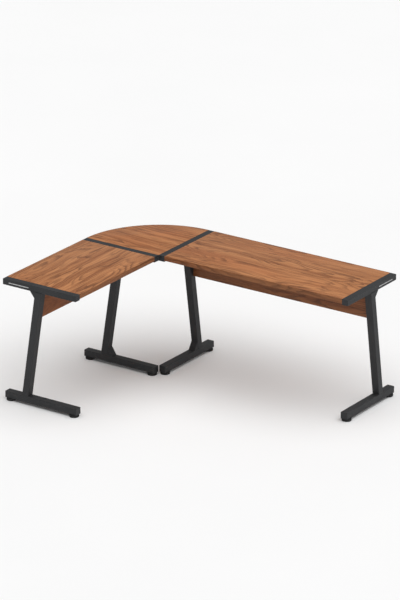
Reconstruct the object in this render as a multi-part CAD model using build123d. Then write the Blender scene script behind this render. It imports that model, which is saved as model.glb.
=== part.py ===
from build123d import *
import os

# L-shaped corner desk: a long wing along +X, a short wing along -Y and a quarter-round corner
# board between them, carried by four steel C-frames on levelling feet.
# Millimetres, +Z up. The front edges of the two wings meet at the inner corner, and the origin is on
# the floor in the middle of the desk's footprint.

# Driving dimensions
HEIGHT = 740.0            # floor to desktop
DEPTH = 510.0             # front edge to rear edge of a wing, and radius of the corner board
LONG_REACH = 1290.0       # inner corner to the outer face of the long wing's end rail
SHORT_REACH = 810.0       # inner corner to the outer face of the short wing's end rail
BOARD = 28.0              # desktop thickness
BAND = 2.0                # edge band thickness
PANEL = 16.0              # modesty panel thickness
PANEL_DROP = 182.0        # desktop underside to the panel's lower edge
PANEL_SET_BACK = 290.0    # front edge of the desktop to the panel's front face
CUT = 1.0                 # how far a cutting solid runs past the face it cuts

# Top rails, 40 x 35 tube
RAIL_W = 40.0
RAIL_H = 35.0
RAIL_WALL = 1.5
RAIL_CORNER = 1.2         # radius of the tube's long edges

# Foot bars, 45 x 40 tube, set in a little from the ends of the rails
BAR_W = 45.0
BAR_H = 40.0
BAR_WALL = 2.0
BAR_CORNER = 2.0
BAR_INSET = 5.0

# Inclined uprights, 45 wide
UPRIGHT_FRONT = 240.0     # front edge of the desktop to the front face, at the rail
UPRIGHT_DEPTH = 43.0      # front face to rear face, measured level
UPRIGHT_LEAN = 102.0      # how far the foot stands behind the head
UPRIGHT_WALL = 2.0
UPRIGHT_CORNER = 2.0

# Folded corner gussets
TOP_GUSSET = (35.0, 38.0)     # along the rail, down the upright
FOOT_GUSSET = (38.0, 48.0)    # along the foot bar, up the upright
GUSSET_PLATE = 2.5
GUSSET_SET_IN = 1.5           # each side of the gusset stands in from the tube by this

# Plastic end caps
CAP_FACE = 4.0            # thickness of the visible face
CAP_PLUG = 12.0           # depth of the plug in the tube
CAP_WALL = 1.8
CAP_ROUND = 3.0           # rounding of the face's corners
CAP_RIM = 1.8             # rounding of the face's outer rim
CAP_GAP = 0.15            # plug to tube

# Levelling feet, M8
PAD_R = 29.0
PAD_H = 15.0
PAD_CHAMFER = 2.0         # lower rim
PAD_ROUND = 1.5           # upper rim
PAD_GAP = 1.0             # pad to the underside of the bar with the foot screwed fully in
STEM_R = 4.0
STEM_BORE_R = 4.06
STEM_TOP = 44.0           # top of the stem above the floor
INSERT_R = 8.0
INSERT_FLANGE_R = 11.0
INSERT_FLANGE = 2.0
INSERT_H = 16.0

# Ledges under the boards, panel brackets and screws
LEDGE_W = 30.0
LEDGE_T = 3.0
LEDGE_SET_BACK = 40.0
LEDGE_SCREW_IN = 30.0     # outer screws from the ledge's ends
BRACKET = 30.0
BRACKET_W = 40.0
BRACKET_T = 2.5
BRACKET_HOLE = 0.6        # hole from the bend, as a share of the leg
LONG_BRACKETS = 4
SHORT_BRACKETS = 3
PANEL_GAP = 3.0           # panel's ends to the rails' sides
NOTCH_PLAY = 0.5          # panel's top corners around the ledges
SCREW_R = 2.0
SCREW_HEAD_R = 4.2
SCREW_HEAD_H = 2.2
SCREW_LENGTH = 15.0
SCREW_PLAY = 0.4          # steel hole's radius over the screw's
SHANK_SUNK = 0.5          # shank's start inside the head
BOLT_R = 3.0
BOLT_HEAD_R = 5.5
BOLT_HEAD_H = 3.5
BOLT_LENGTH = 14.0
TIE_LEG = 150.0           # how far the plate that ties the two corner frames runs along each
TIE_T = 3.0
TIE_BOLTS = (45.0, 130.0)     # bolts behind the front end of each corner rail
TIE_INSET = 12.0          # plate stands in from the inner corner
TIE_MARGIN = 8.0          # plate stands in from the rails' far sides

# Worked-out levels
RAIL_BOTTOM = HEIGHT - RAIL_H
BOARD_BOTTOM = HEIGHT - BOARD
BAR_BOTTOM = PAD_H + PAD_GAP
BAR_TOP = BAR_BOTTOM + BAR_H
BAR_SIDE = (BAR_W - RAIL_W) / 2
PANEL_BOTTOM = BOARD_BOTTOM - PANEL_DROP
LEAN_PER_MM = UPRIGHT_LEAN / (RAIL_BOTTOM - BAR_TOP)
FOOT_IN = BAR_INSET + PAD_R              # foot centre behind the desk's front edge
FOOT_SIDE = PAD_R - RAIL_W / 2           # pad beyond the outer face of a rail

# The inner corner's place: the footprint is centred on the origin
CORNER_X = (DEPTH - LONG_REACH - FOOT_SIDE) / 2
CORNER_Y = (SHORT_REACH + FOOT_SIDE - DEPTH) / 2


def upright_front(z):
    """Distance behind the front edge of the upright's front face at height z."""
    return UPRIGHT_FRONT + (RAIL_BOTTOM - z) * LEAN_PER_MM


def upright_rear(z):
    """Distance behind the front edge of the upright's rear face at height z."""
    return upright_front(z) + UPRIGHT_DEPTH


# Each frame is drawn with +X across it, +Y to the rear and +Z up, and then placed.
FRAMES = {
    "long_end": Location((CORNER_X + LONG_REACH - RAIL_W, CORNER_Y, 0)),
    "long_corner": Location((CORNER_X, CORNER_Y, 0)),
    "short_corner": Location((CORNER_X, CORNER_Y - RAIL_W, 0), (0, 0, 90)),
    "short_end": Location((CORNER_X, CORNER_Y - SHORT_REACH, 0), (0, 0, 90)),
}
# Sides of a rail that carry a board: 1 is the frame's +X side, -1 its -X side
LEDGE_SIDES = {"long_end": (-1,), "long_corner": (-1, 1), "short_corner": (-1, 1), "short_end": (1,)}
CORNER_FRAMES = ("long_corner", "short_corner")

os.makedirs("parts", exist_ok=True)


def save(name, *pieces):
    """Writes one named part, made of one solid or several separate ones."""
    shape = pieces[0] if len(pieces) == 1 else Compound(children=list(pieces))
    shape.label = name
    export_step(shape, f"parts/{name}.step")


def block(x0, x1, y0, y1, z0, z1):
    """A box between two limits on each axis."""
    return Pos((x0 + x1) / 2, (y0 + y1) / 2, (z0 + z1) / 2) * Box(x1 - x0, y1 - y0, z1 - z0)


def rod(x, y, z0, z1, radius):
    """An upright cylinder between two heights."""
    return Pos(x, y, (z0 + z1) / 2) * Cylinder(radius, z1 - z0)


def side_prism(outline, x0, x1):
    """A solid whose side view is the outline, a list of (y, z), from x0 to x1."""
    wire = Polyline(*[(x0, y, z) for y, z in outline], close=True)
    return extrude(make_face(wire), amount=x1 - x0, dir=(1, 0, 0))


def tube(x0, x1, y0, y1, z0, z1, wall, corner):
    """A rectangular tube along Y with rounded outer corners."""
    outer = block(x0, x1, y0, y1, z0, z1)
    outer = fillet(outer.edges().filter_by(Axis.Y), corner)
    return outer - block(x0 + wall, x1 - wall, y0 - CUT, y1 + CUT, z0 + wall, z1 - wall)


# Frame pieces
def rail(tied):
    """A top rail. The two corner rails are drilled from below for the tie plate's bolts."""
    shape = tube(0, RAIL_W, CAP_FACE, DEPTH - CAP_FACE, RAIL_BOTTOM, HEIGHT, RAIL_WALL,
                 RAIL_CORNER)
    for y in TIE_BOLTS if tied else ():
        shape -= rod(RAIL_W / 2, y, RAIL_BOTTOM - CUT, RAIL_BOTTOM + RAIL_WALL + CUT, BOLT_R)
    return shape


def foot_bar():
    """A tube on the floor, drilled from below for the bushes of its two feet."""
    y0, y1 = BAR_INSET + CAP_FACE, DEPTH - BAR_INSET - CAP_FACE
    shape = tube(-BAR_SIDE, RAIL_W + BAR_SIDE, y0, y1, BAR_BOTTOM, BAR_TOP, BAR_WALL,
                 BAR_CORNER)
    for y in foot_places():
        shape -= rod(RAIL_W / 2, y, BAR_BOTTOM - CUT, BAR_BOTTOM + BAR_WALL + CUT, INSERT_R)
    return shape


def upright():
    """The inclined tube between the foot bar and the rail, cut level at both ends."""
    def outline(wall, top, bottom):
        return [(upright_front(top) + wall, top), (upright_rear(top) - wall, top),
                (upright_rear(bottom) - wall, bottom), (upright_front(bottom) + wall, bottom)]

    x0, x1 = -BAR_SIDE, RAIL_W + BAR_SIDE
    outer = side_prism(outline(0, RAIL_BOTTOM, BAR_TOP), x0, x1)
    long_edges = [e for e in outer.edges() if e.length > RAIL_BOTTOM - BAR_TOP]
    outer = fillet(long_edges, UPRIGHT_CORNER)
    inner = outline(UPRIGHT_WALL, RAIL_BOTTOM + CUT, BAR_TOP - CUT)
    return outer - side_prism(inner, x0 + UPRIGHT_WALL, x1 - UPRIGHT_WALL)


def gusset(outline):
    """A folded gusset: two triangular cheeks and the sloping web between them.
    The outline is the (y, z) of the corner and of the web's two ends."""
    x0 = -BAR_SIDE + GUSSET_SET_IN
    x1 = RAIL_W + BAR_SIDE - GUSSET_SET_IN
    corner, start, end = (Vector(0, y, z) for y, z in outline)
    along = (end - start).normalized()
    to_corner = corner - start
    inward = (to_corner - along * to_corner.dot(along)).normalized()
    reach = to_corner.length
    near = (start + inward * GUSSET_PLATE - along * reach, end + inward * GUSSET_PLATE + along * reach)
    hollow = [near[0], near[1], near[1] + inward * reach, near[0] + inward * reach]
    inside = side_prism([(p.Y, p.Z) for p in hollow], x0 + GUSSET_PLATE, x1 - GUSSET_PLATE)
    return side_prism(outline, x0, x1) - inside


def top_gusset():
    """Behind the upright's head, under the rail."""
    along, down = TOP_GUSSET
    z = RAIL_BOTTOM
    return gusset([(upright_rear(z), z), (upright_rear(z) + along, z), (upright_rear(z - down), z - down)])


def foot_gusset():
    """In front of the upright's foot, on the foot bar."""
    along, up = FOOT_GUSSET
    z = BAR_TOP
    return gusset([(upright_front(z), z), (upright_front(z) - along, z), (upright_front(z + up), z + up)])


def cap(x0, x1, z0, z1, wall, y, rearward):
    """A plastic cap on a tube's end: a rounded face and a hollow plug. y is the visible face and
    rearward is 1 when the tube runs to the rear of it, -1 when it runs to the front."""
    face = block(x0, x1, min(y, y + rearward * CAP_FACE), max(y, y + rearward * CAP_FACE), z0, z1)
    face = fillet(face.edges().filter_by(Axis.Y), CAP_ROUND)
    rim = face.faces().sort_by(Axis.Y)[0 if rearward > 0 else -1].edges()
    face = fillet(rim, CAP_RIM)
    near = y + rearward * CAP_FACE
    far = near + rearward * CAP_PLUG
    gap = wall + CAP_GAP
    plug = block(x0 + gap, x1 - gap, min(near, far), max(near, far), z0 + gap, z1 - gap)
    hole = gap + CAP_WALL
    plug -= block(x0 + hole, x1 - hole, min(near, far) - CUT, max(near, far) + CUT, z0 + hole, z1 - hole)
    return face + plug


def rail_caps():
    shape = (0, RAIL_W, RAIL_BOTTOM, HEIGHT, RAIL_WALL)
    return [cap(*shape, 0, 1), cap(*shape, DEPTH, -1)]


def bar_caps():
    shape = (-BAR_SIDE, RAIL_W + BAR_SIDE, BAR_BOTTOM, BAR_TOP, BAR_WALL)
    return [cap(*shape, BAR_INSET, 1), cap(*shape, DEPTH - BAR_INSET, -1)]


def foot_places():
    return (FOOT_IN, DEPTH - FOOT_IN)


def inserts():
    """Threaded bushes in the underside of the foot bar, one over each foot."""
    made = []
    for y in foot_places():
        x = RAIL_W / 2
        body = rod(x, y, BAR_BOTTOM, BAR_BOTTOM + INSERT_H, INSERT_R)
        body += rod(x, y, BAR_BOTTOM + BAR_WALL, BAR_BOTTOM + BAR_WALL + INSERT_FLANGE, INSERT_FLANGE_R)
        made.append(body - rod(x, y, BAR_BOTTOM - CUT, BAR_BOTTOM + INSERT_H + CUT, STEM_BORE_R))
    return made


def foot(y):
    """A levelling foot: a round pad with a bevelled lower rim, on its stem."""
    x = RAIL_W / 2
    pad = rod(x, y, 0, PAD_H, PAD_R)
    pad = chamfer(pad.edges().group_by(Axis.Z)[0], PAD_CHAMFER)
    pad = fillet(pad.edges().group_by(Axis.Z)[-1], PAD_ROUND)
    return pad + rod(x, y, PAD_H - CUT, STEM_TOP, STEM_R)


def ledge(side):
    """A flat steel ledge welded along a rail, with the board lying on it."""
    x0, x1 = (-LEDGE_W, 0) if side < 0 else (RAIL_W, RAIL_W + LEDGE_W)
    shape = block(x0, x1, LEDGE_SET_BACK, DEPTH - LEDGE_SET_BACK, BOARD_BOTTOM - LEDGE_T, BOARD_BOTTOM)
    for y in ledge_screw_places():
        hole = SCREW_R + SCREW_PLAY
        shape -= rod((x0 + x1) / 2, y, BOARD_BOTTOM - LEDGE_T - CUT, BOARD_BOTTOM + CUT, hole)
    return shape


def ledge_screw_places():
    end = LEDGE_SET_BACK + LEDGE_SCREW_IN
    return (end, DEPTH / 2, DEPTH - end)


def screw(shank):
    """A pan-head screw along +Z, with the flat side of its head at z = 0."""
    head = rod(0, 0, -SCREW_HEAD_H, 0, SCREW_HEAD_R)
    return head + rod(0, 0, -SHANK_SUNK, SCREW_LENGTH, shank)


def ledge_screws(side):
    """Screws up through a ledge into its board."""
    x = -LEDGE_W / 2 if side < 0 else RAIL_W + LEDGE_W / 2
    return [Pos(x, y, BOARD_BOTTOM - LEDGE_T) * screw(SCREW_R) for y in ledge_screw_places()]


# Boards. Each wing's board lies between its two rails, with a band on its front and rear edges.
LONG_X = (CORNER_X + RAIL_W, CORNER_X + LONG_REACH - RAIL_W)
SHORT_Y = (CORNER_Y - SHORT_REACH + RAIL_W, CORNER_Y - RAIL_W)


def long_board(y0, y1):
    """The long wing's board between two distances behind its front edge."""
    return block(*LONG_X, CORNER_Y + y0, CORNER_Y + y1, BOARD_BOTTOM, HEIGHT)


def short_board(y0, y1):
    """The short wing's board between two distances behind its front edge."""
    return block(CORNER_X - y1, CORNER_X - y0, *SHORT_Y, BOARD_BOTTOM, HEIGHT)


def corner_board(radius):
    """A quarter round about the inner corner."""
    square = block(CORNER_X - DEPTH, CORNER_X, CORNER_Y, CORNER_Y + DEPTH, BOARD_BOTTOM, HEIGHT)
    return square & rod(CORNER_X, CORNER_Y, BOARD_BOTTOM, HEIGHT, radius)


# Modesty panels, upright boards between the frames, notched for the ledges
def panel(length):
    """A panel along +X from x = 0, with its front face at y = 0."""
    shape = block(PANEL_GAP, length - PANEL_GAP, 0, PANEL, PANEL_BOTTOM, BOARD_BOTTOM)
    notch_w, notch_z = LEDGE_W + NOTCH_PLAY, BOARD_BOTTOM - LEDGE_T - NOTCH_PLAY
    for x0, x1 in ((0, notch_w), (length - notch_w, length)):
        shape -= block(x0, x1, -CUT, PANEL + CUT, notch_z, BOARD_BOTTOM + CUT)
    return shape


def bracket():
    """An angle bracket between a board above it and a panel in front of it, at y = 0."""
    half = BRACKET_W / 2
    shape = block(-half, half, 0, BRACKET, BOARD_BOTTOM - BRACKET_T, BOARD_BOTTOM)
    shape += block(-half, half, 0, BRACKET_T, BOARD_BOTTOM - BRACKET, BOARD_BOTTOM)
    for hole in bracket_screws(SCREW_R + SCREW_PLAY):
        shape -= hole
    return shape


def bracket_screws(shank):
    """Two screws up into the board and two forward into the panel."""
    made = []
    for x in (-BRACKET_W / 4, BRACKET_W / 4):
        up = Pos(x, BRACKET * BRACKET_HOLE, BOARD_BOTTOM - BRACKET_T)
        forward = Pos(x, BRACKET_T, BOARD_BOTTOM - BRACKET * BRACKET_HOLE) * Rot(90, 0, 0)
        made += [up * screw(shank), forward * screw(shank)]
    return made


def spread(low, high, count):
    """Middles of equal stretches between two ends."""
    step = (high - low) / count
    return [low + step * (i + 0.5) for i in range(count)]


def tie_plate():
    """A flat plate under the front ends of the two corner rails."""
    far = RAIL_W - TIE_MARGIN
    outline = [(far, TIE_INSET), (far, TIE_LEG), (-TIE_MARGIN, TIE_LEG), (-TIE_LEG, TIE_MARGIN),
               (-TIE_LEG, -far), (-TIE_INSET, -far), (-TIE_INSET, TIE_INSET)]
    plate = extrude(make_face(Polyline(*outline, close=True)), amount=TIE_T)
    return Pos(CORNER_X, CORNER_Y, RAIL_BOTTOM - TIE_T) * plate


def tie_bolt(y):
    """A bolt up through the tie plate into a corner rail, y behind the rail's front end."""
    z = RAIL_BOTTOM - TIE_T
    head = rod(RAIL_W / 2, y, z - BOLT_HEAD_H, z, BOLT_HEAD_R)
    return head + rod(RAIL_W / 2, y, z - SHANK_SUNK, z + BOLT_LENGTH, BOLT_R)


long_panel_place = Location((LONG_X[0], CORNER_Y + PANEL_SET_BACK, 0))
short_panel_place = Location((CORNER_X - PANEL_SET_BACK, SHORT_Y[0], 0), (0, 0, 90))
long_span = LONG_X[1] - LONG_X[0]
short_span = SHORT_Y[1] - SHORT_Y[0]
long_brackets = [long_panel_place * Pos(x, PANEL, 0) for x in spread(0, long_span, LONG_BRACKETS)]
short_brackets = [short_panel_place * Pos(x, PANEL, 0) for x in spread(0, short_span, SHORT_BRACKETS)]
bracket_fixings = [place * s for place in long_brackets + short_brackets for s in bracket_screws(SCREW_R)]
ledge_fixings = [place * s for name, place in FRAMES.items() for side in LEDGE_SIDES[name]
                 for s in ledge_screws(side)]
tie_fixings = [FRAMES[name] * tie_bolt(y) for name in CORNER_FRAMES for y in TIE_BOLTS]


def drilled(board, screws):
    """The board with a hole for each screw that reaches into it."""
    low, high = board.bounding_box().min, board.bounding_box().max
    for item in screws:
        middle = item.bounding_box().center()
        if low.X < middle.X < high.X and low.Y < middle.Y < high.Y:
            board -= item
    return board


fixings = ledge_fixings + bracket_fixings
save("long_desktop", drilled(long_board(BAND, DEPTH - BAND), fixings))
save("short_desktop", drilled(short_board(BAND, DEPTH - BAND), fixings))
save("corner_desktop", drilled(corner_board(DEPTH - BAND), fixings))
save("long_edge_bands", long_board(0, BAND), long_board(DEPTH - BAND, DEPTH))
save("short_edge_bands", short_board(0, BAND), short_board(DEPTH - BAND, DEPTH))
save("corner_edge_band", corner_board(DEPTH) - corner_board(DEPTH - BAND))
save("long_modesty_panel", drilled(long_panel_place * panel(long_span), bracket_fixings))
save("short_modesty_panel", drilled(short_panel_place * panel(short_span), bracket_fixings))
save("long_panel_brackets", *[place * bracket() for place in long_brackets])
save("short_panel_brackets", *[place * bracket() for place in short_brackets])
save("corner_tie_plate", drilled(tie_plate(), tie_fixings))
save("ledge_screws", *ledge_fixings)
save("bracket_screws", *bracket_fixings)
save("tie_bolts", *tie_fixings)

for name, place in FRAMES.items():
    tied = name in CORNER_FRAMES
    save(f"{name}_rail", place * rail(tied))
    save(f"{name}_upright", place * upright())
    save(f"{name}_foot_bar", place * foot_bar())
    save(f"{name}_top_gusset", place * top_gusset())
    if tied:
        save(f"{name}_foot_gusset", place * foot_gusset())
    save(f"{name}_rail_caps", *[place * c for c in rail_caps()])
    save(f"{name}_bar_caps", *[place * c for c in bar_caps()])
    save(f"{name}_inserts", *[place * i for i in inserts()])
    save(f"{name}_ledges", *[place * ledge(side) for side in LEDGE_SIDES[name]])
    for where, y in zip(("front", "rear"), foot_places()):
        save(f"{name}_{where}_foot", place * foot(y))
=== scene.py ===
import math

import bmesh
import bpy
from mathutils import Matrix, Vector


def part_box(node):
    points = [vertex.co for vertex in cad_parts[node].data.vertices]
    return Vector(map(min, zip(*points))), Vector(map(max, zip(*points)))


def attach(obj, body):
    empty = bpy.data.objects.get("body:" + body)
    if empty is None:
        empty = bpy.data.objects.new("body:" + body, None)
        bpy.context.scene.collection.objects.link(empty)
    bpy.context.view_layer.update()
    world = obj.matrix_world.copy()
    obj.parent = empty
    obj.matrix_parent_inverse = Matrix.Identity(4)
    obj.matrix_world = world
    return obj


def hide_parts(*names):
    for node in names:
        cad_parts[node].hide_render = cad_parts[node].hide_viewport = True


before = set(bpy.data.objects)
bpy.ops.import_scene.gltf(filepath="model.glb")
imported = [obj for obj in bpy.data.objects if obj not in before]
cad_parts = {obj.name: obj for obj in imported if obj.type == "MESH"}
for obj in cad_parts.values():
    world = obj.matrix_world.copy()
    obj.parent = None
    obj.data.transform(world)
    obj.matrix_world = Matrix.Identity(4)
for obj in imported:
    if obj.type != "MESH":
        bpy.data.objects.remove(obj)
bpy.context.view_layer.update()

MM = 0.001
FRAME_NAMES = ("long_end", "long_corner", "short_corner", "short_end")

# Places and sizes, read from the frame. The inner corner is where the front edges of the wings meet.
corner_low, corner_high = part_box("corner_desktop")
INNER = Vector((corner_high.x, corner_low.y, 0))
TOP = corner_high.z
UNDER = corner_low.z
BAND = corner_low.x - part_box("corner_edge_band")[0].x
DEPTH = corner_high.x - corner_low.x + BAND
BAR_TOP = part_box("long_end_foot_bar")[1].z
RAIL_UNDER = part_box("long_end_rail")[0].z


# ---------------------------------------------------------------- shader helpers
def fill(tree, socket, value):
    """Links a socket to another socket, or sets it to a value."""
    if isinstance(value, bpy.types.NodeSocket):
        tree.links.new(value, socket)
    else:
        socket.default_value = value


def add_node(tree, kind, settings=None, **inputs):
    """A shader node. Its inputs are named, with _ for a space, or numbered as in0, in1."""
    made = tree.nodes.new(kind)
    for key, value in (settings or {}).items():
        setattr(made, key, value)
    for key, value in inputs.items():
        label = int(key[2:]) if key.startswith("in") else key.replace("_", " ")
        fill(tree, made.inputs[label], value)
    return made


def maths(tree, operation, *values, clamp=False):
    inputs = {f"in{i}": value for i, value in enumerate(values)}
    settings = {"operation": operation, "use_clamp": clamp}
    return add_node(tree, "ShaderNodeMath", settings, **inputs).outputs[0]


def times(tree, first, second, clamp=False):
    return maths(tree, "MULTIPLY", first, second, clamp=clamp)


def plus(tree, first, second, clamp=False):
    return maths(tree, "ADD", first, second, clamp=clamp)


def minus(tree, first, second):
    return maths(tree, "SUBTRACT", first, second)


def smooth(tree, value, low, high, to_low=0.0, to_high=1.0):
    """Eases from one value to another as the input goes from low to high."""
    made = add_node(tree, "ShaderNodeMapRange", {"interpolation_type": "SMOOTHSTEP"},
                    Value=value, From_Min=low, From_Max=high, To_Min=to_low, To_Max=to_high)
    return made.outputs[0]


def height_above_floor(tree, place):
    return add_node(tree, "ShaderNodeSeparateXYZ", Vector=place).outputs[2]


def noise(tree, vector, scale=1.0, detail=2.0, roughness=0.5):
    made = add_node(tree, "ShaderNodeTexNoise", Vector=vector, Scale=scale, Detail=detail,
                    Roughness=roughness)
    return made.outputs[0]


def drawn_noise(tree, vector, scales, detail=2.0, roughness=0.5):
    """Noise with its own scale along each axis, so that it is drawn out into streaks."""
    made = add_node(tree, "ShaderNodeVectorMath", {"operation": "MULTIPLY"}, in0=vector, in1=scales)
    return noise(tree, made.outputs[0], 1.0, detail, roughness)


def mix_colour(tree, factor, first, second):
    made = tree.nodes.new("ShaderNodeMix")
    made.data_type = "RGBA"
    for index, value in ((0, factor), (6, first), (7, second)):
        fill(tree, made.inputs[index], value)
    return made.outputs[2]


def shade_group(name, inputs, outputs):
    """An empty shader node group. Inputs and outputs are (name, kind)."""
    tree = bpy.data.node_groups.new(name, "ShaderNodeTree")
    for way, sockets in (("INPUT", inputs), ("OUTPUT", outputs)):
        for label, kind in sockets:
            tree.interface.new_socket(name=label, in_out=way, socket_type=f"NodeSocket{kind}")
    start = tree.nodes.new("NodeGroupInput")
    end = tree.nodes.new("NodeGroupOutput")
    return tree, start.outputs, end.inputs


# ---------------------------------------------------------------- effects shared by materials
# Scales of the walnut figure, per metre: along the grain, and twice across it
BEND_SCALE = (1.9, 3.5, 3.5)
HILL_SCALE = (1.5, 9.5, 9.5)
RIPPLE_SCALE = (6.0, 70.0, 70.0)
PATCH_SCALE = (2.2, 11.0, 11.0)
BROAD_SCALE = (1.1, 24.0, 24.0)
NARROW_SCALE = (2.6, 120.0, 120.0)
FIBRE_SCALE = (18.0, 900.0, 900.0)
PORE_SCALE = (55.0, 1500.0, 1500.0)
WARM_SCALE = (0.9, 5.0, 5.0)

BEND_REACH = 0.11               # metres that the grain wanders sideways
LINES_ACROSS = 16.0             # growth lines per metre of board
LINES_ON_HILL = 16.0            # growth lines that a hill in the field adds
LINES_IN_RIPPLE = 1.1
LINE_DEPTH = 0.70
PORE_DEPTH = 0.45
WARM_DEPTH = 0.4
PORE_COLOUR = (0.05, 0.022, 0.012, 1.0)
BLACK = (0.0, 0.0, 0.0, 1.0)


def wood_figure_group():
    """Flat-sawn figure, its grain along X: broad streaks, arched growth lines, fibres and pores."""
    tree, given, result = shade_group(
        "wood_figure",
        [("Vector", "Vector"), ("Light", "Color"), ("Dark", "Color"), ("Red", "Color"),
         ("Lines", "Float")],
        [("Color", "Color"), ("Height", "Float"), ("Roughness", "Float")])
    place = given["Vector"]

    # A slow bend of the grain, so that no line runs dead straight
    bend = times(tree, minus(tree, drawn_noise(tree, place, BEND_SCALE, 3.0), 0.5), BEND_REACH)
    shift = add_node(tree, "ShaderNodeCombineXYZ", Y=bend).outputs[0]
    bent = add_node(tree, "ShaderNodeVectorMath", {"operation": "ADD"}, in0=place, in1=shift)
    bent = bent.outputs[0]

    # Growth lines are level lines of a smooth field: straight where it rises evenly across the
    # board, arched where it has a hill in it
    across = add_node(tree, "ShaderNodeSeparateXYZ", Vector=bent).outputs[1]
    hills = drawn_noise(tree, bent, HILL_SCALE, 1.0, 0.3)
    ripple = drawn_noise(tree, bent, RIPPLE_SCALE)
    field = plus(tree, times(tree, across, LINES_ACROSS), times(tree, hills, LINES_ON_HILL))
    field = plus(tree, field, times(tree, ripple, LINES_IN_RIPPLE))
    rings = maths(tree, "FRACT", field)
    late = times(tree, smooth(tree, rings, 0.38, 0.90), smooth(tree, rings, 1.0, 0.93))
    patchy = drawn_noise(tree, bent, PATCH_SCALE)
    late = times(tree, late, smooth(tree, patchy, 0.34, 0.62, 0.3, 1.0))

    # Broad streaks and fine fibres
    broad = drawn_noise(tree, bent, BROAD_SCALE, 4.0, 0.62)
    narrow = drawn_noise(tree, bent, NARROW_SCALE, 3.0, 0.62)
    fibre = drawn_noise(tree, bent, FIBRE_SCALE, 2.0, 0.6)
    tone = times(tree, smooth(tree, broad, 0.34, 0.70), 0.60)
    tone = plus(tree, tone, times(tree, smooth(tree, narrow, 0.38, 0.66), 0.38))
    tone = plus(tree, tone, times(tree, minus(tree, fibre, 0.5), 0.30))
    tone = plus(tree, tone, 0.02, clamp=True)

    # Pores: short dark dashes along the grain, fewer where a broad streak is pale
    dashes = smooth(tree, drawn_noise(tree, bent, PORE_SCALE, 0.0), 0.66, 0.76)
    pores = times(tree, dashes, smooth(tree, broad, 0.35, 0.6, 0.3, 1.0))

    warm = smooth(tree, drawn_noise(tree, place, WARM_SCALE), 0.42, 0.68)
    colour = mix_colour(tree, tone, given["Light"], given["Dark"])
    colour = mix_colour(tree, times(tree, warm, WARM_DEPTH), colour, given["Red"])
    lines = times(tree, times(tree, late, given["Lines"]), LINE_DEPTH, clamp=True)
    deep = mix_colour(tree, 0.55, given["Dark"], BLACK)
    colour = mix_colour(tree, lines, colour, deep)
    colour = mix_colour(tree, times(tree, pores, PORE_DEPTH), colour, PORE_COLOUR)
    tree.links.new(colour, result["Color"])
    tree.links.new(minus(tree, times(tree, fibre, 0.35), pores), result["Height"])
    gloss = plus(tree, times(tree, fibre, 0.12), times(tree, pores, 0.25))
    tree.links.new(plus(tree, gloss, times(tree, broad, 0.06)), result["Roughness"])
    return tree


def scuff_group():
    """Dry scuffs and dust that gather low on the frame, strongest near the floor."""
    tree, given, result = shade_group(
        "low_scuffs", [("Vector", "Vector"), ("Reach", "Float")], [("Mask", "Float")])
    place = given["Vector"]
    low = smooth(tree, height_above_floor(tree, place), 0.0, given["Reach"], 1.0, 0.0)
    streaks = drawn_noise(tree, place, (30.0, 30.0, 110.0), 4.0, 0.65)
    cloud = noise(tree, place, 9.0, 3.0)
    mask = times(tree, smooth(tree, streaks, 0.52, 0.7), smooth(tree, cloud, 0.4, 0.65))
    tree.links.new(times(tree, mask, low, clamp=True), result["Mask"])
    return tree


def grain_group():
    """Fine orange-peel of a powder coat or the spark-eroded grain of a moulding."""
    tree, given, result = shade_group(
        "fine_texture", [("Vector", "Vector"), ("Size", "Float")],
        [("Height", "Float"), ("Speckle", "Float"), ("Cloud", "Float")])
    place, size = given["Vector"], given["Size"]
    fine = noise(tree, place, size, 2.0, 0.6)
    cells = add_node(tree, "ShaderNodeTexVoronoi", {"feature": "SMOOTH_F1"}, Vector=place, Scale=size)
    height = plus(tree, times(tree, fine, 0.6), times(tree, cells.outputs[0], 0.4))
    tree.links.new(height, result["Height"])
    tree.links.new(smooth(tree, fine, 0.56, 0.72), result["Speckle"])
    tree.links.new(noise(tree, place, 7.0, 3.0, 0.55), result["Cloud"])
    return tree


WOOD_FIGURE = wood_figure_group()
LOW_SCUFFS = scuff_group()
FINE_TEXTURE = grain_group()


# ---------------------------------------------------------------- materials
WOOD_GLOSS = 0.30               # specular level of the laminate
COAT_GLOSS = 0.35
WOOD_BUMP = 0.12 * MM
BRUSHED_BUMP = 0.03 * MM
SPECKLE_COLOUR = (0.16, 0.16, 0.165, 1)
SCUFF_COLOUR = (0.22, 0.21, 0.20, 1)


def new_material(name):
    material = bpy.data.materials.new(name)
    material.use_nodes = True
    tree = material.node_tree
    tree.nodes.clear()
    shader = tree.nodes.new("ShaderNodeBsdfPrincipled")
    output = tree.nodes.new("ShaderNodeOutputMaterial")
    tree.links.new(shader.outputs[0], output.inputs[0])
    place = tree.nodes.new("ShaderNodeTexCoord").outputs["Object"]
    return material, tree, shader, place


def use_group(tree, group, **inputs):
    made = tree.nodes.new("ShaderNodeGroup")
    made.node_tree = group
    for key, value in inputs.items():
        fill(tree, made.inputs[key], value)
    return made.outputs


def add_bump(tree, shader, height, distance, strength=1.0):
    bump = add_node(tree, "ShaderNodeBump", Height=height, Distance=distance, Strength=strength)
    tree.links.new(bump.outputs[0], shader.inputs["Normal"])


def shaded(colour, factor):
    """A colour made lighter or darker, opaque."""
    return tuple(c * factor for c in colour[:3]) + (1.0,)


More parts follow.
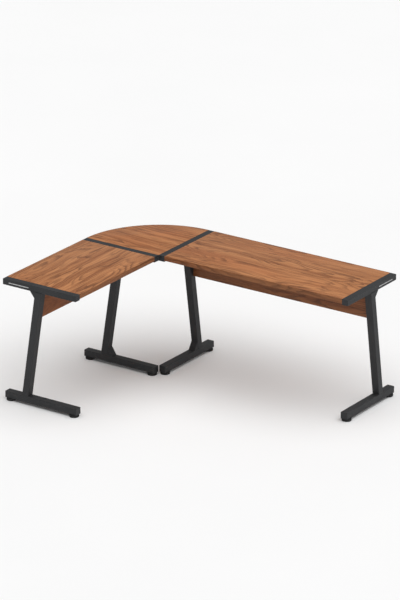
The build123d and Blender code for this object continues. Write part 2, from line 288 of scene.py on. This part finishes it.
def wood(name, turn, offset, colours, lines=1.0, roughness=0.38, standing=False):
    """Walnut laminate. turn is the direction of the grain about Z, in degrees."""
    material, tree, shader, place = new_material(name)
    mapping = add_node(tree, "ShaderNodeMapping", Vector=place)
    tilt = math.radians(90) if standing else 0
    mapping.inputs["Rotation"].default_value = (tilt, 0, math.radians(-turn))
    mapping.inputs["Location"].default_value = offset
    light, dark, red = colours
    out = use_group(tree, WOOD_FIGURE, Vector=mapping.outputs[0], Light=light, Dark=dark, Red=red,
                    Lines=lines)
    tree.links.new(out["Color"], shader.inputs["Base Color"])
    tree.links.new(plus(tree, out["Roughness"], roughness), shader.inputs["Roughness"])
    shader.inputs["Specular IOR Level"].default_value = WOOD_GLOSS
    add_bump(tree, shader, out["Height"], WOOD_BUMP, 0.7)
    return material


def coated(name, colour, size, roughness, bump, scuff, reach=0.12):
    """A dark textured finish: powder-coated steel or moulded plastic."""
    material, tree, shader, place = new_material(name)
    grain = use_group(tree, FINE_TEXTURE, Vector=place, Size=size)
    scuffs = use_group(tree, LOW_SCUFFS, Vector=place, Reach=reach)["Mask"]
    base = mix_colour(tree, smooth(tree, grain["Cloud"], 0.3, 0.7), colour, shaded(colour, 1.45))
    base = mix_colour(tree, times(tree, grain["Speckle"], 0.25), base, SPECKLE_COLOUR)
    base = mix_colour(tree, times(tree, scuffs, scuff), base, SCUFF_COLOUR)
    tree.links.new(base, shader.inputs["Base Color"])
    rough = plus(tree, times(tree, grain["Cloud"], 0.14), roughness)
    rough = plus(tree, rough, times(tree, scuffs, 0.25), clamp=True)
    tree.links.new(rough, shader.inputs["Roughness"])
    shader.inputs["Specular IOR Level"].default_value = COAT_GLOSS
    add_bump(tree, shader, grain["Height"], bump)
    return material


def bright_steel(name, colour, roughness):
    """Zinc-plated or brushed steel, with fine scratches along X."""
    material, tree, shader, place = new_material(name)
    brushed = drawn_noise(tree, place, (60.0, 2600.0, 2600.0), 2.0, 0.6)
    cloud = noise(tree, place, 60.0, 3.0)
    base = mix_colour(tree, smooth(tree, cloud, 0.3, 0.7), colour, shaded(colour, 0.72))
    tree.links.new(base, shader.inputs["Base Color"])
    shader.inputs["Metallic"].default_value = 1.0
    rough = plus(tree, times(tree, brushed, 0.18), roughness)
    tree.links.new(plus(tree, rough, times(tree, cloud, 0.1)), shader.inputs["Roughness"])
    add_bump(tree, shader, brushed, BRUSHED_BUMP)
    return material


# Light wood, dark wood and the red between them
TOP_WALNUT = ((0.53, 0.228, 0.088, 1), (0.25, 0.081, 0.024, 1), (0.42, 0.135, 0.045, 1))
# The edge strips and panels get a darker copy of the top walnut: painted shade on their faces
EDGE_WALNUT_PAINTED_SHADE = ((0.30, 0.115, 0.040, 1), (0.15, 0.048, 0.015, 1), (0.25, 0.075, 0.024, 1))

# Each piece is cut from its own part of the figure, so no two have the same grain
long_wood = wood("walnut_long_top", 0, (0.0, 0.0, 0.3), TOP_WALNUT)
short_wood = wood("walnut_short_top", 90, (3.1, 0.7, 1.1), TOP_WALNUT)
corner_wood = wood("walnut_corner_top", 0, (5.3, 2.2, 0.9), TOP_WALNUT)
# Edge strips and modesty panels take the darker walnut, which is painted shade
long_edge_wood = wood("walnut_long_edge", 0, (1.7, 4.0, 0.0), EDGE_WALNUT_PAINTED_SHADE, lines=0.8,
                      roughness=0.40, standing=True)
short_edge_wood = wood("walnut_short_edge", 90, (7.7, 1.0, 0.4), EDGE_WALNUT_PAINTED_SHADE, lines=0.8,
                       roughness=0.40)
long_panel_wood = wood("walnut_long_panel", 0, (2.9, 6.0, 2.0), EDGE_WALNUT_PAINTED_SHADE, roughness=0.42,
                       standing=True)
short_panel_wood = wood("walnut_short_panel", 90, (8.8, 3.0, 4.0), EDGE_WALNUT_PAINTED_SHADE, roughness=0.42)
charcoal = coated("charcoal_powder_coat", (0.0175, 0.018, 0.0195, 1), size=850.0, roughness=0.50,
                  bump=0.16 * MM, scuff=0.25)
cap_black = coated("moulded_caps", (0.018, 0.0185, 0.0205, 1), size=1500.0, roughness=0.45,
                   bump=0.06 * MM, scuff=0.22)
foot_black = coated("moulded_feet", (0.006, 0.006, 0.0065, 1), size=1300.0, roughness=0.55,
                    bump=0.08 * MM, scuff=0.35, reach=0.03)
zinc = bright_steel("zinc_plate", (0.50, 0.51, 0.52, 1), 0.28)
strip_metal = bright_steel("brushed_strip", (0.62, 0.62, 0.62, 1), 0.34)


# ---------------------------------------------------------------- mesh helpers
def finish_piece(name, bm, material, nodes=(), body="desk", flat_angle=35):
    """Turns a bmesh into a piece that rides on a body and stands for CAD nodes."""
    bmesh.ops.recalc_face_normals(bm, faces=bm.faces)
    mesh = bpy.data.meshes.new(name)
    bm.to_mesh(mesh)
    bm.free()
    piece = bpy.data.objects.new(name, mesh)
    bpy.context.scene.collection.objects.link(piece)
    mesh.materials.append(material)
    mesh.shade_smooth()
    mesh.set_sharp_from_angle(angle=math.radians(flat_angle))
    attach(piece, body)
    if nodes:
        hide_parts(*nodes)


def prism(bm, outline, along):
    """A solid from a flat outline of points, pushed out along a vector. Returns its faces."""
    verts = [bm.verts.new(point) for point in outline]
    face = bm.faces.new(verts)
    pushed = bmesh.ops.extrude_face_region(bm, geom=[face])
    moved = [item for item in pushed["geom"] if isinstance(item, bmesh.types.BMVert)]
    bmesh.ops.translate(bm, vec=along, verts=moved)
    made = list({f for v in verts + moved for f in v.link_faces})
    bmesh.ops.recalc_face_normals(bm, faces=made)
    return made


def soften(bm, faces, width, segments=2, angle=30):
    """Rounds the sharp edges of some faces."""
    edges = {e for f in faces for e in f.edges}
    sharp = [e for e in edges
             if len(e.link_faces) == 2 and e.calc_face_angle(0) > math.radians(angle)]
    bmesh.ops.bevel(bm, geom=sharp, offset=width, segments=segments, profile=0.5, affect="EDGES",
                    material=-1, clamp_overlap=True)


def slab(bm, low, high, width, segments=2):
    """A box between two corners, with rounded edges."""
    outline = [(low.x, low.y, low.z), (high.x, low.y, low.z),
               (high.x, high.y, low.z), (low.x, high.y, low.z)]
    soften(bm, prism(bm, outline, (0, 0, high.z - low.z)), width, segments)


def on_axes(z, places):
    """A point at a height, with its place along each axis that is given."""
    point = Vector((0, 0, z))
    for axis, value in places.items():
        point[axis] = value
    return point


# ---------------------------------------------------------------- boards, bands and panels
BOARD_EDGE = 0.35 * MM
BAND_EDGE = 0.9 * MM
PANEL_EDGE = 0.8 * MM
ARC_STEPS = 96
NOTCH_PLAY = 0.5 * MM
NOTCH_REACH = 28.0 * MM         # from the end of a panel, past the ledge


def arc(radius):
    """The corner board's quarter round under the top, from the short wing to the long wing."""
    turns = [math.pi - math.pi / 2 * i / ARC_STEPS for i in range(ARC_STEPS + 1)]
    return [(INNER.x + radius * math.cos(t), INNER.y + radius * math.sin(t), UNDER) for t in turns]


def boards():
    for node, material in (("long_desktop", long_wood), ("short_desktop", short_wood)):
        bm = bmesh.new()
        slab(bm, *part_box(node), BOARD_EDGE)
        finish_piece(node.replace("desktop", "top_board"), bm, material, [node])
    bm = bmesh.new()
    outline = [(INNER.x, INNER.y, UNDER)] + arc(DEPTH - BAND)
    soften(bm, prism(bm, outline, (0, 0, TOP - UNDER)), BOARD_EDGE)
    finish_piece("corner_top_board", bm, corner_wood, ["corner_desktop"])


def bands():
    """The front and rear edge bands of each wing, and the round one of the corner board."""
    for node, material, across in (("long_edge_bands", long_edge_wood, 1),
                                   ("short_edge_bands", short_edge_wood, 0)):
        low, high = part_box(node)
        inner_high, inner_low = high.copy(), low.copy()
        inner_high[across] = low[across] + BAND
        inner_low[across] = high[across] - BAND
        bm = bmesh.new()
        slab(bm, low, inner_high, BAND_EDGE, 3)
        slab(bm, inner_low, high, BAND_EDGE, 3)
        finish_piece(node.replace("bands", "strips"), bm, material, [node])
    bm = bmesh.new()
    outline = arc(DEPTH) + arc(DEPTH - BAND)[::-1]
    soften(bm, prism(bm, outline, (0, 0, TOP - UNDER)), BAND_EDGE, 3)
    finish_piece("corner_edge_strip", bm, long_edge_wood, ["corner_edge_band"])


def panels():
    """Modesty panels, notched at the top corners for the ledges that carry the boards."""
    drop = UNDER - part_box("long_end_ledges")[0].z + NOTCH_PLAY
    for node, material, run in (("long_modesty_panel", long_panel_wood, 0),
                                ("short_modesty_panel", short_panel_wood, 1)):
        low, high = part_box(node)
        side = 1 - run
        start, end = low[run], high[run]
        notch = high.z - drop
        steps = [(start, low.z), (end, low.z), (end, notch), (end - NOTCH_REACH, notch),
                 (end - NOTCH_REACH, high.z), (start + NOTCH_REACH, high.z),
                 (start + NOTCH_REACH, notch), (start, notch)]
        outline = [on_axes(z, {run: along, side: low[side]}) for along, z in steps]
        push = on_axes(0, {side: high[side] - low[side]})
        bm = bmesh.new()
        soften(bm, prism(bm, outline, push), PANEL_EDGE)
        finish_piece(node.replace("modesty_panel", "panel_board"), bm, material,
                     [node])


# ---------------------------------------------------------------- levelling feet
PAD_RADIUS = 29 * MM
PAD_TOP = 15 * MM
# Outline of the pad in millimetres, radius and height: sole, rim, ribbed side, dished top
PAD_OUTLINE = ((0, 0.8), (18.0, 0.8), (19.5, 0.0), (25.5, 0.0), (26.8, 0.4), (28.4, 2.4),
               (29.0, 4.0), (29.0, 11.6), (28.4, 13.6), (26.6, 14.8), (24.0, 15.0), (22.6, 14.2),
               (13.5, 14.0), (12.4, 15.0))
THREAD_RADIUS = 4.0 * MM
THREAD_ROOT = 3.45 * MM
THREAD_PITCH = 1.25 * MM
STEM_POINT = 1.2 * MM           # height of the chamfer on the end of the stem
STEM_POINT_IN = 0.6 * MM
FOOT_STEPS = 96
RIBS = 32
RIB_LOW, RIB_HIGH = 3.9 * MM, 11.7 * MM
RIB_GROOVE = 0.7 * MM
GROOVE_FROM, GROOVE_TO = 0.6, 0.07      # the part of each rib's turn that is cut away


def levelling_foot(node):
    """A ribbed round pad on a threaded stem."""
    low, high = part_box(node)
    centre = Vector(((low.x + high.x) / 2, (low.y + high.y) / 2, 0))
    radius = (high.x - low.x) / 2
    profile = [(r * MM * radius / PAD_RADIUS, z * MM) for r, z in PAD_OUTLINE]
    z = PAD_TOP
    while z < high.z - THREAD_PITCH:
        profile += [(THREAD_ROOT, z), (THREAD_RADIUS, z + THREAD_PITCH / 2)]
        z += THREAD_PITCH
    profile += [(THREAD_ROOT, high.z - STEM_POINT), (THREAD_ROOT - STEM_POINT_IN, high.z),
                (0, high.z)]
    bm = bmesh.new()
    verts = [bm.verts.new((centre.x + r, centre.y, z)) for r, z in profile]
    edges = [bm.edges.new(pair) for pair in zip(verts, verts[1:])]
    bmesh.ops.spin(bm, geom=verts + edges, cent=centre, axis=(0, 0, 1), angle=math.tau,
                   steps=FOOT_STEPS, use_merge=True)
    bmesh.ops.remove_doubles(bm, verts=bm.verts, dist=1e-6)
    for vert in bm.verts:
        flat = Vector((vert.co.x - centre.x, vert.co.y - centre.y, 0))
        if RIB_LOW < vert.co.z < RIB_HIGH and flat.length > radius * 0.98:
            turn = math.atan2(flat.y, flat.x) / math.tau * RIBS
            if turn % 1.0 > GROOVE_FROM or turn % 1.0 < GROOVE_TO:
                vert.co -= flat.normalized() * RIB_GROOVE
    finish_piece(node.replace("_foot", "_pad"), bm, foot_black, [node], node, 40)


# ---------------------------------------------------------------- weld beads and name strips
BEAD_RADIUS = 2.4 * MM
BEAD_END = 0.35                 # size of a bead's ends, as a part of its radius
BEAD_STEP = 1.6 * MM
BEAD_SIDES = 8
BEAD_PROUD = 0.6 * MM           # how far a bead's middle stands off the joint
BEAD_INSET = 3.0 * MM           # from the sides of the upright
UPRIGHT_DEPTH = 43 * MM

STRIP_LENGTH = 140 * MM
STRIP_HALF = 2.6 * MM           # half its height, and the radius of its round ends
STRIP_FROM_REAR = 42 * MM
STRIP_THICK = 0.5 * MM
STRIP_SUNK = 0.1 * MM
STRIP_DROP = 1.5 * MM           # below the middle of the rail
STRIP_EDGE = 0.15 * MM
STRIP_END_STEPS = 8

TRIM_NEAR, TRIM_FAR = 0.4 * MM, 2.6 * MM
TRIM_DROP = 0.3 * MM            # below the desktop
TRIM_EDGE = 0.15 * MM


def lie(name):
    """The axis that a frame's bars lie along, the axis across them, and a sign, which is that of
    the rear along the first and, on an end frame, of the outer side along the second."""
    return (1, 0, 1) if name.startswith("long") else (0, 1, -1)


def bead(bm, start, end):
    """A rippled weld bead along a straight joint."""
    along = end - start
    count = max(6, int(along.length / BEAD_STEP))
    turn = Vector((0, 0, 1)).rotation_difference(along).to_matrix().to_4x4()
    ring = bmesh.ops.create_circle(bm, cap_ends=True, segments=BEAD_SIDES,
                                   radius=BEAD_RADIUS * BEAD_END,
                                   matrix=Matrix.Translation(start) @ turn)["verts"]
    face = ring[0].link_faces[0]
    for i in range(1, count + 1):
        old = face
        pushed = bmesh.ops.extrude_face_region(bm, geom=[old])["geom"]
        verts = [v for v in pushed if isinstance(v, bmesh.types.BMVert)]
        face = next(f for f in pushed if isinstance(f, bmesh.types.BMFace))
        if i > 1:               # the first face closes the bead's start, later ones lie inside it
            bm.faces.remove(old)
        centre = start + along * (i / count)
        ripple = 1.0 + 0.13 * math.sin(i * 2.4) + 0.06 * math.sin(i * 0.9)
        size = BEAD_RADIUS * (BEAD_END if i == count else ripple)
        middle = sum((v.co for v in verts), Vector()) / len(verts)
        for v in verts:
            v.co = centre + (v.co - middle).normalized() * size


def welds(name):
    """Beads across the front and rear of an upright, at the foot bar and at the rail."""
    low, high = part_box(f"{name}_upright")
    run, side, sign = lie(name)
    front = low[run] if sign > 0 else high[run]
    lean = (high[run] - low[run]) - UPRIGHT_DEPTH
    bm = bmesh.new()
    for z, head in ((BAR_TOP + BEAD_PROUD, front + sign * lean), (RAIL_UNDER - BEAD_PROUD, front)):
        for at in (head - sign * BEAD_PROUD, head + sign * (UPRIGHT_DEPTH + BEAD_PROUD)):
            bead(bm, on_axes(z, {run: at, side: low[side] + BEAD_INSET}),
                 on_axes(z, {run: at, side: high[side] - BEAD_INSET}))
    finish_piece(f"{name}_welds", bm, charcoal, (), "desk", 60)


def name_strip(name):
    """A plain brushed strip on the outer side of an end rail, near its rear end."""
    low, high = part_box(f"{name}_rail_caps")
    run, side, sign = lie(name)
    outer = high[side] if sign > 0 else low[side]
    rear = high[run] if sign > 0 else low[run]
    middle = (low.z + high.z) / 2 - STRIP_DROP
    outline = []
    for centre, start in ((STRIP_FROM_REAR + STRIP_HALF, 90),
                          (STRIP_FROM_REAR + STRIP_LENGTH - STRIP_HALF, -90)):
        for i in range(STRIP_END_STEPS + 1):
            t = math.radians(start + i * 180 / STRIP_END_STEPS)
            along = rear - sign * (centre + STRIP_HALF * math.cos(t))
            outline.append(on_axes(middle + STRIP_HALF * math.sin(t),
                                   {run: along, side: outer - sign * STRIP_SUNK}))
    push = on_axes(0, {side: sign * STRIP_THICK})
    bm = bmesh.new()
    soften(bm, prism(bm, outline, push), STRIP_EDGE, 1, 60)
    finish_piece(f"{name}_strip", bm, strip_metal, (), "desk", 40)


def corner_trim():
    """A small black fillet that closes the slit between the rounded ends of the corner rails."""
    outline = [(INNER.x - TRIM_NEAR, INNER.y - TRIM_FAR, RAIL_UNDER),
               (INNER.x + TRIM_FAR, INNER.y + TRIM_NEAR, RAIL_UNDER),
               (INNER.x - TRIM_NEAR, INNER.y + TRIM_NEAR, RAIL_UNDER)]
    bm = bmesh.new()
    soften(bm, prism(bm, outline, (0, 0, TOP - TRIM_DROP - RAIL_UNDER)), TRIM_EDGE, 1)
    finish_piece("inner_corner_trim", bm, cap_black)


# ---------------------------------------------------------------- CAD pieces that keep their shape
def dress(material, *nodes):
    for node in nodes:
        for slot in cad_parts[node].material_slots:
            slot.material = material


def frames():
    """The steel and caps of the four frames, and the new pieces that each of them carries."""
    for name in FRAME_NAMES:
        dress(charcoal, *(f"{name}_{part}"
                          for part in ("rail", "upright", "foot_bar", "top_gusset", "ledges")))
        if "corner" in name:
            dress(charcoal, f"{name}_foot_gusset")
        dress(cap_black, f"{name}_rail_caps", f"{name}_bar_caps")
        dress(zinc, f"{name}_inserts")
        for end in ("front", "rear"):
            levelling_foot(f"{name}_{end}_foot")
        welds(name)


frames()
dress(charcoal, "long_panel_brackets", "short_panel_brackets", "corner_tie_plate")
dress(zinc, "ledge_screws", "bracket_screws", "tie_bolts")
boards()
bands()
panels()
name_strip("long_end")
name_strip("short_end")
corner_trim()


# ---------------------------------------------------------------- floor, light and camera
FLOOR_RADIUS = 90.0
FLOOR_PALE, FLOOR_PALER = (0.86, 0.86, 0.86, 1), (0.90, 0.90, 0.90, 1)
WORLD_STRENGTH = 0.38
# Name, where it shines from, strength and spread in degrees
SUNS = (("overhead", (0.9, -0.3, 4.0), 2.25, 80),
        ("right_side", (4.0, 0.6, 1.6), 0.22, 60))

VIEW_AZIMUTH = 34.456           # degrees
VIEW_ELEVATION = 21.0
VIEW_MIDDLE = Vector((0, 0, 0.5976))
VIEW_DISTANCE = 24.334          # metres
SENSOR = 36.0                   # millimetres
LENS = 257.14
FARTHEST = 200.0


def floor():
    bm = bmesh.new()
    bmesh.ops.create_circle(bm, cap_ends=True, segments=96, radius=FLOOR_RADIUS)
    mesh = bpy.data.meshes.new("floor")
    bm.to_mesh(mesh)
    bm.free()
    sheet = bpy.data.objects.new("floor", mesh)
    bpy.context.scene.collection.objects.link(sheet)
    material, tree, shader, place = new_material("pale_floor")
    cloud = noise(tree, place, 0.7, 3.0)
    tree.links.new(mix_colour(tree, cloud, FLOOR_PALE, FLOOR_PALER), shader.inputs["Base Color"])
    shader.inputs["Roughness"].default_value = 0.85
    shader.inputs["Specular IOR Level"].default_value = 0.1
    mesh.materials.append(material)


def place_object(name, data, location, facing):
    """Puts a light or camera at a place, facing along a vector."""
    made = bpy.data.objects.new(name, data)
    bpy.context.scene.collection.objects.link(made)
    made.location = location
    made.rotation_mode = "QUATERNION"
    made.rotation_quaternion = facing.to_track_quat("-Z", "Y")
    return made


def lights():
    """An even pale world and distant soft lights, which shine towards the middle of the scene."""
    world = bpy.data.worlds.new("studio")
    world.use_nodes = True
    background = world.node_tree.nodes["Background"]
    background.inputs[0].default_value = (1.0, 1.0, 1.0, 1)
    background.inputs[1].default_value = WORLD_STRENGTH
    bpy.context.scene.world = world
    for name, source, strength, spread in SUNS:
        data = bpy.data.lights.new(name, "SUN")
        data.energy = strength
        data.angle = math.radians(spread)
        place_object(name, data, source, -Vector(source))


def camera():
    azimuth, elevation = math.radians(VIEW_AZIMUTH), math.radians(VIEW_ELEVATION)
    back = Vector((math.sin(azimuth) * math.cos(elevation),
                   -math.cos(azimuth) * math.cos(elevation), math.sin(elevation)))
    data = bpy.data.cameras.new("camera")
    data.sensor_width = SENSOR
    data.lens = LENS
    data.clip_end = FARTHEST
    bpy.context.scene.camera = place_object("camera", data, VIEW_MIDDLE + back * VIEW_DISTANCE, -back)


floor()
lights()
camera()
bpy.context.scene.view_settings.view_transform = "Standard"
